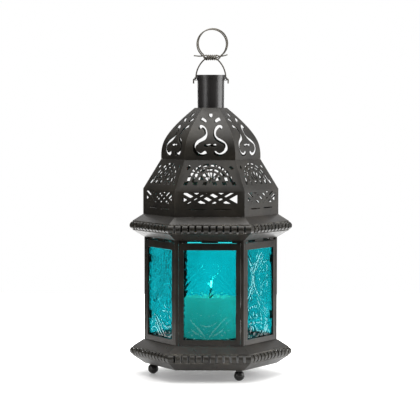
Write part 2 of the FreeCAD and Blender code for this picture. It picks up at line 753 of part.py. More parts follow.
def crown_section():
    wall = size("pierced_wall")
    upright = size("rim_corner") * COS30
    top = size("dome_corner") * COS30
    low, bend, high = size("crown_low") + FIT_GAP / 2, size("crown_bend"), size("dome_low") - FIT_GAP / 2
    outer = [Vector(0, -upright, low), Vector(0, -upright, bend), Vector(0, -top, high)]
    inner = [Vector(0, -top + wall * 1.13, high), Vector(0, -upright + wall, bend - wall * 0.25),
             Vector(0, -upright + wall, low)]
    corners = outer + inner
    return Part.makePolygon(corners + [corners[0]])


# Vent slits under the front trellises: their levels, and where each one starts and ends.
SLIT_LOW, SLIT_HIGH = 130.7, 131.6
SLIT_ENDS = ((3.0, 16.0), (-16.0, -3.0))
crown_blank = side_sheet(crown_section(), size("crown_low"), size("dome_low")).cut(fan_holes())
slits = [prism([(near, SLIT_LOW), (far, SLIT_LOW), (far, SLIT_HIGH), (near, SLIT_HIGH)]) for near, far in SLIT_ENDS]
front_panel = crown_blank.cut([trellis_holes(FRONT_TRELLIS)] + slits)
rear_panel = crown_blank.cut([trellis_holes(REAR_TRELLIS)])
for number in range(1, SIDES + 1):
    crown_panel = rear_panel if number in REAR_SIDES else front_panel
    part_feature("crown_panel_%d" % number, crown_panel.copy(), number - 1)

# ---------------------------------------------------------------- dome petals
# Corner radius against level, from the foot of the dome to the chimney.
DOME_CURVE = [(168.2, 38.6), (176.4, 38.2), (181.6, 36.7), (187.4, 33.3), (194.0, 27.8), (200.8, 20.8), (207.9, 12.5)]


def dome_section():
    """A curved strip: the outer curve, and the same curve moved inwards by the sheet."""
    wall = size("pierced_wall")
    outer = [Vector(0, -radius * COS30, level) for level, radius in DOME_CURVE]
    inner = []
    for index, point in enumerate(outer):
        before, after = outer[max(index - 1, 0)], outer[min(index + 1, len(outer) - 1)]
        along = (after - before).normalize()
        inner.append(point + Vector(0, along.z, -along.y) * wall)
    outside, inside = Part.BSplineCurve(), Part.BSplineCurve()
    outside.interpolate(outer)
    inside.interpolate(inner)
    return Part.Wire([outside.toShape(), Part.makeLine(outer[-1], inner[-1]),
                      inside.toShape(), Part.makeLine(inner[0], outer[0])])


def ribbon(points, widths):
    """A curved slot: a smooth line through the points, with a width at each."""
    left, right = [], []
    for index, (x, z) in enumerate(points):
        before, after = points[max(index - 1, 0)], points[min(index + 1, len(points) - 1)]
        length = math.hypot(after[0] - before[0], after[1] - before[1])
        normal = (-(after[1] - before[1]) / length, (after[0] - before[0]) / length)
        half = widths[index] / 2
        left.append(Vector(x + normal[0] * half, -60, z + normal[1] * half))
        right.append(Vector(x - normal[0] * half, -60, z - normal[1] * half))
    curve = Part.BSplineCurve()
    curve.interpolate(left + right[::-1], PeriodicFlag=True)
    return Part.Face(Part.Wire([curve.toShape()])).extrude(Vector(0, 60, 0))


SCROLL = [(8.4, 191.9), (7.2, 193.6), (5.0, 192.6), (3.3, 189.3), (3.6, 186.2), (6.2, 183.5), (9.6, 181.6),
          (12.0, 178.9), (11.9, 175.7), (9.6, 173.0), (6.2, 172.2), (3.2, 174.4)]
SCROLL_WIDTHS = [1.6, 2.5, 2.2, 2.0, 2.2, 2.8, 2.5, 2.0, 2.1, 2.5, 2.6, 1.8]
COMMA = [(7.0, 199.3), (5.4, 198.6), (3.4, 196.9)]
COMMA_WIDTHS = [2.5, 2.5, 1.2]
BOW = [(-4.6, 179.9), (-2.4, 179.0), (0, 179.6), (2.4, 179.0), (4.6, 179.9)]
BOW_WIDTHS = [1.1, 1.8, 1.5, 1.8, 1.1]
DROP = [(0, 203.3), (0, 202.4), (0, 200.6)]
DROP_WIDTHS = [2.6, 3.1, 1.2]

dome_petal = side_sheet(dome_section(), size("dome_low"), size("chimney_low") + 10)
scrolls = [ribbon(BOW, BOW_WIDTHS), ribbon(DROP, DROP_WIDTHS)]
for hand in (1, -1):
    scrolls.append(ribbon([(hand * x, z) for x, z in SCROLL], SCROLL_WIDTHS))
    scrolls.append(ribbon([(hand * x, z) for x, z in COMMA], COMMA_WIDTHS))
dome_petal = dome_petal.cut(scrolls)
for number in range(1, SIDES + 1):
    part_feature("dome_petal_%d" % number, dome_petal.copy(), number - 1)

# ---------------------------------------------------------------- chimney and hanging gear
tube, tube_wall = cell("chimney_radius"), cell("chimney_wall")
CHIMNEY_TAPER = 0.25
FLANGE_WIDTH = 3.45
chimney_low, chimney_top = cell("chimney_low"), cell("chimney_top")
turned("chimney", [
    (tube - tube_wall, chimney_low), (tube + FLANGE_WIDTH, chimney_low),
    (tube + FLANGE_WIDTH - 0.4, chimney_low + 0.6), (tube, chimney_low + 1.2),
    (tube + CHIMNEY_TAPER, chimney_top - 0.4), (tube + CHIMNEY_TAPER - 0.2, chimney_top),
    (tube + CHIMNEY_TAPER - tube_wall, chimney_top), (tube - tube_wall, chimney_low + 1.2)])


def ear_collar():
    """The band round the top of the chimney, with an ear that holds each end of the bail."""
    top = size("chimney_top")
    low = top - size("collar_height")
    inner = size("chimney_radius") + CHIMNEY_TAPER + 0.05
    collar = Part.makeCylinder(size("collar_radius"), size("collar_height"), Vector(0, 0, low))
    shelf_top = size("pivot_level") - size("wire_radius") - 0.25
    shelf = 0.4
    outer = size("ear_inner") + size("ear_plate")
    half = size("ear_half")
    strap_low = shelf_top - shelf
    strap = Part.makeCylinder(size("collar_radius"), low - strap_low + 0.01, Vector(0, 0, strap_low))
    strap = strap.common(Part.makeBox(4 * outer, 2 * half, top, Vector(-2 * outer, -half, 0)))
    solid = collar.fuse(strap)
    for hand in (1, -1):
        foot = Part.makeBox(outer - 10.0, 2 * half, shelf,
                            Vector(10.0 if hand > 0 else -outer, -half, strap_low))
        plate = Part.makeBox(size("ear_plate"), 2 * half, size("pivot_level") + 1.5 - strap_low,
                             Vector(size("ear_inner") if hand > 0 else -outer, -half, strap_low))
        hole = Part.makeCylinder(size("wire_radius") + 0.05, 3.0,
                                 Vector(hand * (outer + 1.0), 0, size("pivot_level")), Vector(-hand, 0, 0))
        solid = solid.fuse(foot).fuse(plate).cut(hole)
    bore = Part.makeCylinder(inner, top, Vector(0, 0, 100))
    return solid.cut(bore).removeSplitter()


part_feature("ear_collar", ear_collar())

BAIL_TOP_RADIUS = 8.5
BAIL_TOP_ANGLE = 45.0


def on_circle(centre, radius, angle):
    """A point in the bail's plane, its angle measured from straight up."""
    turn = math.radians(angle)
    return Vector(centre.x + radius * math.sin(turn), 0, centre.z + radius * math.cos(turn))


def bail_wire():
    """An arch of wire whose ends turn out through the ears and then down."""
    top, pivot, bend = size("bail_top"), size("pivot_level"), size("wire_bend")
    leg, tip = size("leg_offset"), size("tip_offset")
    crown_centre = Vector(0, 0, top - BAIL_TOP_RADIUS)
    shoulder = on_circle(crown_centre, BAIL_TOP_RADIUS, BAIL_TOP_ANGLE)
    side_radius = (leg - shoulder.x) / (1 - math.sin(math.radians(BAIL_TOP_ANGLE)))
    side_centre = Vector(leg - side_radius, 0, shoulder.z - side_radius * math.cos(math.radians(BAIL_TOP_ANGLE)))
    foot = on_circle(side_centre, side_radius, 90)
    half = [Part.Arc(shoulder, on_circle(side_centre, side_radius, 67), foot).toShape()]
    lower = Vector(leg, 0, pivot + bend)
    if foot.z - lower.z > 0.01:
        half.append(Part.makeLine(foot, lower))
    inner_centre = Vector(leg + bend, 0, pivot + bend)
    turn_in = Vector(leg + bend, 0, pivot)
    half.append(Part.Arc(lower, on_circle(inner_centre, bend, 225), turn_in).toShape())
    turn_out = Vector(tip - bend, 0, pivot)
    half.append(Part.makeLine(turn_in, turn_out))
    outer_centre = Vector(tip - bend, 0, pivot - bend)
    down = Vector(tip, 0, pivot - bend)
    half.append(Part.Arc(turn_out, on_circle(outer_centre, bend, 45), down).toShape())
    half.append(Part.makeLine(down, Vector(tip, 0, size("tip_level"))))
    mirrored = [edge.mirror(Vector(0, 0, 0), Vector(1, 0, 0)) for edge in half]
    left = on_circle(crown_centre, BAIL_TOP_RADIUS, -BAIL_TOP_ANGLE)
    arch = Part.Arc(left, Vector(0, 0, top), shoulder).toShape()
    return mirrored[::-1] + [arch] + half, Vector(-tip, 0, size("tip_level")), Vector(0, 0, 1)


def swept_wire(edges, start, direction):
    """A round wire along a chain of arcs and straight runs."""
    path = Part.Wire(Part.__sortEdges__(edges))
    disc = Part.Wire([Part.makeCircle(size("wire_radius"), start, direction)])
    return path.makePipeShell([disc], True, False)


edges, start, direction = bail_wire()
part_feature("bail_wire", swept_wire(edges, start, direction))

RING_CROSS_ANGLE = 20.0
RING_END_ANGLE = 13.9
RING_END_REACH = 13.6


def arc_from(start, tangent, end):
    """The arc that leaves start along a tangent and reaches end."""
    chord = end - start
    length = chord.Length
    unit = chord * (1 / length)
    swing = math.acos(tangent.dot(unit))
    side = (tangent - unit * tangent.dot(unit)).normalize()
    middle = (start + end) * 0.5 + side * (length / 2 * math.tan(swing / 2))
    return Part.Arc(start, middle, end).toShape()


def hanging_ring():
    """Two turns of wire that pass one before and one behind the bail and cross under it."""
    radius = size("ring_radius")
    centre = size("bail_top") - size("ring_drop") + radius
    near, far = size("ring_half_gap"), size("ring_end_gap")

    def place(angle, depth):
        turn = math.radians(angle)
        return Vector(radius * math.cos(turn), depth, centre + radius * math.sin(turn))

    flare = math.radians(RING_END_ANGLE)
    bottom, top = place(-90, -far), place(90, -near)
    leave = place(-90 - RING_END_ANGLE, -far)
    run = (RING_END_REACH + leave.x) / math.cos(flare)
    tip = leave + Vector(-math.cos(flare), 0, math.sin(flare)) * run
    lean = top - bottom
    middle = (bottom + top) * 0.5 + Vector(lean.Length / 2, 0, 0)
    cross = place(270 - RING_CROSS_ANGLE, -near)
    turn = math.radians(RING_CROSS_ANGLE)
    reach = abs(cross.x)
    drop = (math.sqrt(reach ** 2 + (near * math.sin(turn)) ** 2) - reach * math.cos(turn)) / math.sin(turn)
    under = Vector(0, 0, cross.z - drop)
    half = [Part.makeLine(tip, leave),
            Part.Arc(leave, place(-90 - RING_END_ANGLE / 2, -far), bottom).toShape(),
            Part.Arc(bottom, middle, top).toShape(),
            Part.Arc(top, place(180 - RING_CROSS_ANGLE / 2, -near), cross).toShape(),
            arc_from(cross, Vector(math.cos(turn), 0, -math.sin(turn)), under)]
    other = []
    for edge in half[::-1]:
        copy = edge.copy()
        copy.rotate(Vector(0, 0, 0), Vector(0, 0, 1), 180)
        other.append(copy)
    return half + other, tip, leave - tip


edges, start, direction = hanging_ring()
part_feature("hanging_ring", swept_wire(edges, start, direction))

# ---------------------------------------------------------------- check and write
doc.recompute()
failed = [item.Label for item in doc.Objects if "Invalid" in item.State or "Error" in item.State]
if failed:
    raise RuntimeError("failed objects: " + ", ".join(failed))
os.makedirs("parts", exist_ok=True)
for node in nodes:
    if node.Shape.isNull() or not node.Shape.isValid():
        raise RuntimeError("bad shape: " + node.Label)
for node in nodes:
    node.Shape.exportStep("parts/%s.step" % node.Label)
    box = node.Shape.BoundBox
    print("%-24s %2d solids %10.1f mm3  x %7.2f %7.2f  y %7.2f %7.2f  z %7.2f %7.2f" % (
        node.Label, len(node.Shape.Solids), node.Shape.Volume,
        box.XMin, box.XMax, box.YMin, box.YMax, box.ZMin, box.ZMax))
print(len(nodes), "nodes")
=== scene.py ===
"""Looks of a six-sided candle lantern: pierced dark metal, pressed turquoise glass, a candle inside.

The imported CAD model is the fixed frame. Lengths in this file are millimetres unless a name ends in _M.
"""

import json
import math

import bpy
import numpy as np
from mathutils import Matrix, Vector


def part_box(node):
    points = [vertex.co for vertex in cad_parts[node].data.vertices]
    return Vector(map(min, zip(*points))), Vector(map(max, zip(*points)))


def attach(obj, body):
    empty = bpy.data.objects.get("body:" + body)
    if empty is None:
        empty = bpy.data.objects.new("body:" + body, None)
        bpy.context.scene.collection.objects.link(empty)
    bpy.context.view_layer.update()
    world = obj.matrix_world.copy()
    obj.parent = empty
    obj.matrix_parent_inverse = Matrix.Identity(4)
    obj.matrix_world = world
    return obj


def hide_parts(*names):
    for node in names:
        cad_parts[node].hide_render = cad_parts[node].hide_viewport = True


MM = 0.001
SIDES = 6
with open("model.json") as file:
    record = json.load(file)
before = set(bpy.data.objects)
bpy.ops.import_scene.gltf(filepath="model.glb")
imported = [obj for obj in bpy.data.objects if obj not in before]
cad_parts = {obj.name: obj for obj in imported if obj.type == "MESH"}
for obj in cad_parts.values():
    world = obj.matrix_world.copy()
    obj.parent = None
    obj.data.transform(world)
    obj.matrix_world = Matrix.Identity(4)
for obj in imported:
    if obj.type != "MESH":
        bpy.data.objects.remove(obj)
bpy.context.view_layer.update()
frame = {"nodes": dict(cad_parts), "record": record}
nodes = frame["nodes"]
slot_of_node = {part["node"]: part["material_slot"] for part in frame["record"]["subparts"]}


# ---------------------------------------------------------------- camera
CAMERA_DISTANCE = 1534.0
CAMERA_HEIGHT = 212.2
CAMERA_AZIMUTH = 0.99
CAMERA_PITCH = 3.13
CAMERA_YAW = 0.022
CAMERA_ROLL = 0.05
CAMERA_LENS = 168.9
SENSOR_WIDTH = 36.0
CLIP_NEAR_M, CLIP_FAR_M = 0.05, 50


def add_camera():
    """A long lens in front of the lantern, a little above its middle."""
    azimuth = math.radians(CAMERA_AZIMUTH)
    heading = azimuth + math.radians(CAMERA_YAW)
    pitch, roll = math.radians(CAMERA_PITCH), math.radians(CAMERA_ROLL)
    across, away = math.sin(azimuth) * CAMERA_DISTANCE, -math.cos(azimuth) * CAMERA_DISTANCE
    place = Vector((across, away, CAMERA_HEIGHT)) * MM
    level = math.cos(pitch)
    ahead = Vector((-math.sin(heading) * level, math.cos(heading) * level, -math.sin(pitch)))
    right = ahead.cross(Vector((0, 0, 1))).normalized()
    up = right.cross(ahead)
    rolled = right * math.cos(roll) + up * math.sin(roll)
    up = up * math.cos(roll) - right * math.sin(roll)
    right = rolled
    turn = Matrix((right, up, -ahead)).transposed().to_4x4()
    data = bpy.data.cameras.new("camera")
    data.lens = CAMERA_LENS
    data.sensor_width = SENSOR_WIDTH
    data.clip_start = CLIP_NEAR_M
    data.clip_end = CLIP_FAR_M
    camera = bpy.data.objects.new("camera", data)
    camera.matrix_world = Matrix.Translation(place) @ turn
    bpy.context.scene.collection.objects.link(camera)
    bpy.context.scene.camera = camera


# ---------------------------------------------------------------- materials
class Look:
    """A procedural material. Its texture coordinates are the piece's own, in millimetres."""

    def __init__(self, name):
        self.material = bpy.data.materials.new(name)
        self.material.use_nodes = True
        self.tree = self.material.node_tree
        self.shader = self.tree.nodes["Principled BSDF"]
        coordinates = self.tree.nodes.new("ShaderNodeTexCoord")
        scale = self.tree.nodes.new("ShaderNodeMapping")
        scale.inputs["Scale"].default_value = (1 / MM,) * 3
        self.link(coordinates.outputs["Object"], scale.inputs["Vector"])
        self.place = scale.outputs["Vector"]

    def link(self, out, into):
        self.tree.links.new(out, into)

    def node(self, kind, **sockets):
        made = self.tree.nodes.new(kind)
        for name, value in sockets.items():
            made.inputs[name.replace("_", " ")].default_value = value
        return made

    def noise(self, scale, detail=3.0, roughness=0.5, stretch=None):
        """Noise with about `scale` lumps per millimetre."""
        made = self.node("ShaderNodeTexNoise", Scale=scale, Detail=detail, Roughness=roughness)
        source = self.place
        if stretch:
            mapping = self.node("ShaderNodeMapping", Scale=stretch)
            self.link(source, mapping.inputs["Vector"])
            source = mapping.outputs["Vector"]
        self.link(source, made.inputs["Vector"])
        return made.outputs["Fac"]

    def spread(self, source, low, high, out_low=0.0, out_high=1.0):
        """Stretches source's range low..high to out_low..out_high, and clamps it."""
        made = self.node("ShaderNodeMapRange", From_Min=low, From_Max=high, To_Min=out_low, To_Max=out_high)
        self.link(source, made.inputs["Value"])
        return made.outputs["Result"]

    def mix(self, factor, first, second):
        """A colour between two colours, or between a colour and another node's output."""
        made = self.tree.nodes.new("ShaderNodeMix")
        made.data_type = "RGBA"
        self.link(factor, made.inputs["Factor"])
        for socket, value in (("A", first), ("B", second)):
            into = [s for s in made.inputs if s.name == socket and s.type == "RGBA"][0]
            if isinstance(value, tuple):
                into.default_value = (*value, 1)
            else:
                self.link(value, into)
        return [s for s in made.outputs if s.type == "RGBA"][0]

    def maths(self, operation, first, second):
        made = self.tree.nodes.new("ShaderNodeMath")
        made.operation = operation
        for place, value in enumerate((first, second)):
            if isinstance(value, (int, float)):
                made.inputs[place].default_value = value
            else:
                self.link(value, made.inputs[place])
        return made.outputs["Value"]

    def edges(self, radius):
        """1 on edges sharper than about `radius` millimetres, 0 on flats."""
        bevel = self.tree.nodes.new("ShaderNodeBevel")
        bevel.samples = 4
        bevel.inputs["Radius"].default_value = radius * MM
        flat = self.tree.nodes.new("ShaderNodeNewGeometry")
        dot = self.tree.nodes.new("ShaderNodeVectorMath")
        dot.operation = "DOT_PRODUCT"
        self.link(bevel.outputs["Normal"], dot.inputs[0])
        self.link(flat.outputs["Normal"], dot.inputs[1])
        return self.spread(dot.outputs["Value"], 0.995, 0.86)

    def bumps(self, *layers):
        """Stacks bump layers (height source, distance in millimetres, strength)."""
        last = None
        for source, distance, strength in layers:
            made = self.node("ShaderNodeBump", Distance=distance * MM, Strength=strength)
            self.link(source, made.inputs["Height"])
            if last:
                self.link(last, made.inputs["Normal"])
            last = made.outputs["Normal"]
        self.link(last, self.shader.inputs["Normal"])

    def put(self, **sockets):
        for name, value in sockets.items():
            into = self.shader.inputs[name.replace("_", " ")]
            if isinstance(value, bpy.types.NodeSocket):
                self.link(value, into)
            else:
                into.default_value = value


def dark_paint(name, deep, dull, edge_colour, metallic, rough_low, rough_high, edge_amount=0.6, grain=0.02):
    """Satin dark paint on metal: mottled colour, dusty patches, and a lighter colour on edges, which is
    rubbed paint and, where the edge colour is pale, a painted highlight as well.
    """
    look = Look(name)
    mottle = look.spread(look.noise(0.05, 4.0, 0.6), 0.35, 0.68)
    specks = look.spread(look.noise(0.9, 3.0, 0.55), 0.46, 0.75, 0.0, 0.55)
    colour = look.mix(look.maths("MAXIMUM", mottle, specks), deep, dull)
    patchy = look.spread(look.noise(0.16, 4.0, 0.6), 0.42, 0.62)
    # edges take the edge colour: rubbed paint, and on the bands' ribs, whose edge colour is pale, a painted
    # highlight too
    edge_mask = look.maths("MULTIPLY", look.maths("MULTIPLY", look.edges(0.35), patchy), edge_amount)
    look.put(Base_Color=look.mix(edge_mask, colour, edge_colour), Metallic=metallic, Specular_IOR_Level=0.5,
             Roughness=look.spread(look.noise(0.22, 5.0, 0.6), 0.3, 0.7, rough_low, rough_high))
    look.bumps((look.noise(0.12, 2.0, 0.4), 0.12, 0.35), (look.noise(2.4, 3.0, 0.6), grain, 0.6))
    return look.material


def rolled_paint(name, deep, dull, edge_colour):
    """Dark paint over sheet rolled into a tube: faint upright drawing lines."""
    look = Look(name)
    lines = look.noise(1.6, 3.0, 0.5, stretch=(1.0, 1.0, 0.03))
    mottle = look.spread(look.noise(0.07, 4.0, 0.6), 0.35, 0.7)
    colour = look.mix(mottle, deep, dull)
    edge_mask = look.maths("MULTIPLY", look.edges(0.3), 0.5)
    look.put(Base_Color=look.mix(edge_mask, colour, edge_colour), Metallic=0.2, Specular_IOR_Level=0.8,
             Roughness=look.spread(lines, 0.3, 0.7, 0.28, 0.38))
    look.bumps((lines, 0.03, 0.5), (look.noise(2.6, 3.0, 0.6), 0.012, 0.5))
    return look.material


def plated_steel(name):
    look = Look(name)
    tone = look.spread(look.noise(0.4, 4.0, 0.6), 0.35, 0.7)
    look.put(Base_Color=look.mix(tone, (0.26, 0.25, 0.23), (0.42, 0.41, 0.39)), Metallic=1.0,
             Roughness=look.spread(look.noise(1.5, 4.0, 0.6), 0.3, 0.7, 0.28, 0.46))
    look.bumps((look.noise(3.0, 3.0, 0.6), 0.02, 0.5),)
    return look.material


def pressed_glass(name):
    """Turquoise glass with streaks in its colour and a faint orange-peel skin."""
    look = Look(name)
    streaks = look.spread(look.noise(0.05, 2.0, 0.4, stretch=(1.0, 1.0, 0.4)), 0.35, 0.65)
    look.put(Base_Color=look.mix(streaks, (0.010, 0.395, 0.425), (0.014, 0.445, 0.48)), Metallic=0.0,
             Roughness=look.spread(look.noise(0.3, 2.0, 0.5), 0.3, 0.7, 0.02, 0.06),
             Transmission_Weight=1.0, IOR=1.5)
    look.bumps((look.noise(0.9, 2.0, 0.5), 0.05, 0.35),)
    return look.material


# Painted light in the candle: the wax glows, brighter towards its top, standing in for the flame lighting it
# from inside: levels of its foot and top, glow there.
WAX_FOOT, WAX_TOP, PAINTED_GLOW_LOW, PAINTED_GLOW_HIGH = 28.0, 61.0, 0.42, 0.80


def candle_wax(name):
    look = Look(name)
    cloudy = look.spread(look.noise(0.09, 3.0, 0.5), 0.35, 0.65)
    split = look.node("ShaderNodeSeparateXYZ")
    look.link(look.place, split.inputs["Vector"])
    look.put(Base_Color=look.mix(cloudy, (0.84, 0.79, 0.66), (0.90, 0.87, 0.78)),
             Roughness=look.spread(look.noise(0.4, 3.0, 0.5), 0.3, 0.7, 0.36, 0.52),
             Subsurface_Weight=0.35, Subsurface_Radius=(0.006, 0.004, 0.0025), Subsurface_Scale=1.0,
             # painted light: the wax itself glows warm, more towards its top
             Emission_Color=(1.0, 0.93, 0.80, 1.0),
             Emission_Strength=look.spread(split.outputs["Z"], WAX_FOOT, WAX_TOP, PAINTED_GLOW_LOW, PAINTED_GLOW_HIGH))
    look.bumps((look.noise(0.5, 3.0, 0.5), 0.08, 0.5),)
    return look.material


def burnt_wick(name):
    look = Look(name)
    twist = look.noise(2.2, 3.0, 0.6, stretch=(1.0, 1.0, 0.4))
    look.put(Base_Color=look.mix(look.spread(twist, 0.35, 0.7), (0.02, 0.018, 0.016), (0.14, 0.11, 0.08)),
             Roughness=look.spread(twist, 0.3, 0.7, 0.8, 0.95))
    look.bumps((twist, 0.15, 0.8),)
    return look.material


def candle_flame(name):
    look = Look(name)
    flicker = look.spread(look.noise(0.15, 2.0, 0.5), 0.3, 0.7)
    colour = look.mix(flicker, (1.0, 0.86, 0.62), (1.0, 0.94, 0.82))
    look.put(Base_Color=colour, Emission_Color=colour, Emission_Strength=110.0, Roughness=0.6)
    return look.material


def make_materials():
    return {
        "dark_metal": dark_paint(
            "dark_metal", (0.010, 0.0085, 0.0068), (0.025, 0.0205, 0.0150), (0.13, 0.11, 0.088),
            0.1, 0.27, 0.38),
        "pierced_sheet": dark_paint(
            "pierced_sheet", (0.011, 0.0095, 0.0075), (0.028, 0.0235, 0.0170),
            (0.12, 0.105, 0.085), 0.1, 0.36, 0.48),
        # The bands: their pale edge colour is rubbed paint and a painted highlight where light catches the
        # rib edges.
        "rubbed_sheen_metal": dark_paint(
            "rubbed_sheen_metal", (0.012, 0.011, 0.009), (0.030, 0.026, 0.020), (0.50, 0.46, 0.38),
            0.1, 0.27, 0.38, edge_amount=0.6),
        "rolled_metal": rolled_paint("rolled_metal", (0.022, 0.020, 0.020), (0.034, 0.031, 0.030),
                                     (0.15, 0.14, 0.125)),
        "dark_wire": dark_paint(
            "dark_wire", (0.13, 0.12, 0.10), (0.22, 0.20, 0.17), (0.34, 0.32, 0.28),
            0.5, 0.3, 0.46, edge_amount=0.1),
        "foot_metal": dark_paint(
            "foot_metal", (0.014, 0.014, 0.014), (0.026, 0.025, 0.024), (0.09, 0.08, 0.07),
            0.5, 0.2, 0.32, edge_amount=0.3),
        "plain_steel": plated_steel("plain_steel"),
        "blue_glass": pressed_glass("blue_glass"),
        "candle_wax": candle_wax("candle_wax"),
        "wick": burnt_wick("wick"),
        "flame": candle_flame("flame"),
    }


def dress(obj, material):
    obj.data.materials.clear()
    obj.data.materials.append(material)


# ---------------------------------------------------------------- meshes
def mesh_piece(name, points, faces, material, body, smooth=True):
    """A mesh object from points in millimetres."""
    mesh = bpy.data.meshes.new(name)
    mesh.from_pydata([tuple(p) for p in np.asarray(points, float) * MM], [], faces)
    mesh.validate()
    mesh.update()
    mesh.polygons.foreach_set("use_smooth", [smooth] * len(mesh.polygons))
    obj = bpy.data.objects.new(name, mesh)
    bpy.context.scene.collection.objects.link(obj)
    dress(obj, material)
    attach(obj, body)
    return obj


def bump_line(distance, width):
    """Height 1 on a line and 0 away from it, as a soft round ridge."""
    return np.exp(-((distance / width) ** 2))


# ---------------------------------------------------------------- glass
# Spacing of a pane's mesh, and the width of the rim over which its relief dies out.
GLASS_STEP = 0.4
RIM_FADE = 9.0
# One repeat of the pressed pattern, and how many columns and rows of it are made each way.
OGEE_WIDTH = 42.0
OGEE_HEIGHT = 68.0
REPEATS = range(-4, 5)
# Shares of the relief: the pressed pattern, and the hammered ground between its lines.
PATTERN_SHARE, HAMMERED_SHARE = 0.74, 0.26
BACK_WAVE = 0.12
# The rosette: petals, a ring of beads, and scrolls.
PETAL_START, PETAL_LENGTH = 1.6, 8.4
BEADS, BEAD_CIRCLE = 24, 12.2
SCROLL_CIRCLE, SCROLL_SWAY, ROSETTE_REACH = 17.5, 2.6, 23


def ogee_relief(u, v):
    """Relief, 0 to 1, of one pressed pattern: an ogee net with a rosette in each cell."""
    height = np.zeros_like(u)
    half_w, half_h = OGEE_WIDTH / 2, OGEE_HEIGHT / 2
    for column in REPEATS:
        # one wavy upright of the net; neighbours mirror each other so that they touch
        sign = 1 if column % 2 else -1
        line = column * half_w + sign * (half_w / 2) * np.cos(math.pi * v / half_h)
        slope = np.sqrt(1 + (half_w / 2 * math.pi / half_h * np.sin(math.pi * v / half_h)) ** 2)
        away = np.abs(u - line) / slope
        height = np.maximum(height, 0.95 * bump_line(away, 0.85))
        height = np.maximum(height, 0.45 * bump_line(away - 2.6, 0.45))
    for column in REPEATS:
        for row in REPEATS:
            if (column + row) % 2:
                continue
            du, dv = u - column * half_w - half_w / 2, v - row * half_h
            height = np.maximum(height, rosette(du, dv))
    return height


def rosette(du, dv):
    """Eight pointed petals with midribs, a ring of beads, and outer scrolls."""
    radius = np.hypot(du, dv)
    angle = np.arctan2(dv, du)
    height = 0.9 * bump_line(radius, 1.3)
    petal = np.cos(4 * angle) ** 2
    length = np.clip((radius - PETAL_START) / PETAL_LENGTH, 0, 1)
    body = np.sin(math.pi * length) ** 0.7
    height = np.maximum(height, 0.85 * body * petal ** (1.4 + 3.0 * length))
    between = np.abs(np.mod(angle + math.pi / 8, math.pi / 4) - math.pi / 8) * radius
    height = np.where((radius > 2) & (radius < 9), height - 0.3 * bump_line(between, 0.35), height)
    off = np.abs(np.mod(angle, 2 * math.pi / BEADS) - math.pi / BEADS) * radius
    height = np.maximum(height, 0.7 * bump_line(np.hypot(off, radius - BEAD_CIRCLE), 0.85))
    reach = SCROLL_CIRCLE + SCROLL_SWAY * np.cos(4 * angle)
    ring = 0.7 * bump_line(radius - reach, 0.6)
    return np.maximum(height, np.where(radius < ROSETTE_REACH, ring, 0))


def glass_slab(offset, relief):
    """A closed pane: patterned outer face, faintly wavy inner face. Front side, at rest in the frame."""
    low, high = (Vector(c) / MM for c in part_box("glass_pane_1"))
    across = np.linspace(low.x, high.x, int((high.x - low.x) / GLASS_STEP) + 1)
    up = np.linspace(low.z, high.z, int((high.z - low.z) / GLASS_STEP) + 1)
    u, v = np.meshgrid(across, up)
    du, dv = offset
    pattern = ogee_relief(u - du, v - (low.z + high.z) / 2 - dv)
    ripple = np.sin(1.9 * u + 1.3 * np.sin(0.9 * v)) + np.sin(1.6 * v + 1.7 * np.sin(0.8 * u + 1.0))
    hammered = 0.5 + 0.18 * ripple
    # the pressed relief dies out at the rim, where the frame and clips hold the pane
    rim = np.minimum.reduce([u - low.x, high.x - u, v - low.z, high.z - v])
    fade = np.clip(rim / RIM_FADE, 0, 1)
    front = low.y + relief * (1 - fade * (PATTERN_SHARE * pattern + HAMMERED_SHARE * hammered))
    back = high.y - BACK_WAVE * fade * (0.5 + 0.5 * np.sin(0.35 * u + 0.8) * np.sin(0.27 * v))
    rows, columns = u.shape
    index = np.arange(rows * columns).reshape(rows, columns)
    faces_of_pane = [np.stack([u, y, v], -1).reshape(-1, 3) for y in (front, back)]
    points = np.concatenate(faces_of_pane)
    quad = np.stack([index[:-1, :-1], index[:-1, 1:], index[1:, 1:], index[1:, :-1]], -1).reshape(-1, 4)
    faces = quad.tolist() + (quad[:, ::-1] + rows * columns).tolist()
    ring = np.concatenate([index[0, :], index[1:, -1], index[-1, -2::-1], index[-2:0:-1, 0]])
    after = np.roll(ring, -1)
    faces += np.stack([ring, ring + rows * columns, after + rows * columns, after], -1).tolist()
    return points, faces


def turned(points, side):
    """Points of side 1, turned to another side of the hexagon."""
    angle = (side - 1) * 2 * math.pi / SIDES
    cos, sin = math.cos(angle), math.sin(angle)
    spin = np.array([[cos, -sin, 0], [sin, cos, 0], [0, 0, 1]])
    return np.asarray(points, float) @ spin.T


# Each pane is cut from the same patterned sheet at another place: side, shift across, shift up, relief.
PANES = [
    (1, -2.0 - OGEE_WIDTH / 4, -3.4, 0.24),
    (2, 3.0, 12.0, 0.30),
    (3, -7.0, 21.0, 0.30),
    (4, 4.0, -9.0, 0.30),
    (5, 9.0, 5.0, 0.30),
    (6, -1.0, -13.0, 0.38),
]
DOOR_SIDE = 4


def add_glass(looks):
    for side, across, up, relief in PANES:
        points, faces = glass_slab((across, up), relief)
        door = side == DOOR_SIDE
        name = "pressed_door_pane" if door else f"pressed_pane_{side}"
        body = "door" if door else "lantern"
        pane = mesh_piece(name, turned(points, side), faces, looks["blue_glass"], body)
        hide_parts("door_glass" if door else f"glass_pane_{side}")


# ---------------------------------------------------------------- flame
# The flame: its foot above the wick's tip, height, radius, sideways lean, rings and points on each ring.
FLAME_GAP, FLAME_TALL, FLAME_FAT, FLAME_LEAN = 1.6, 5.6, 0.9, 0.25
FLAME_ROWS, FLAME_COLUMNS = 22, 20


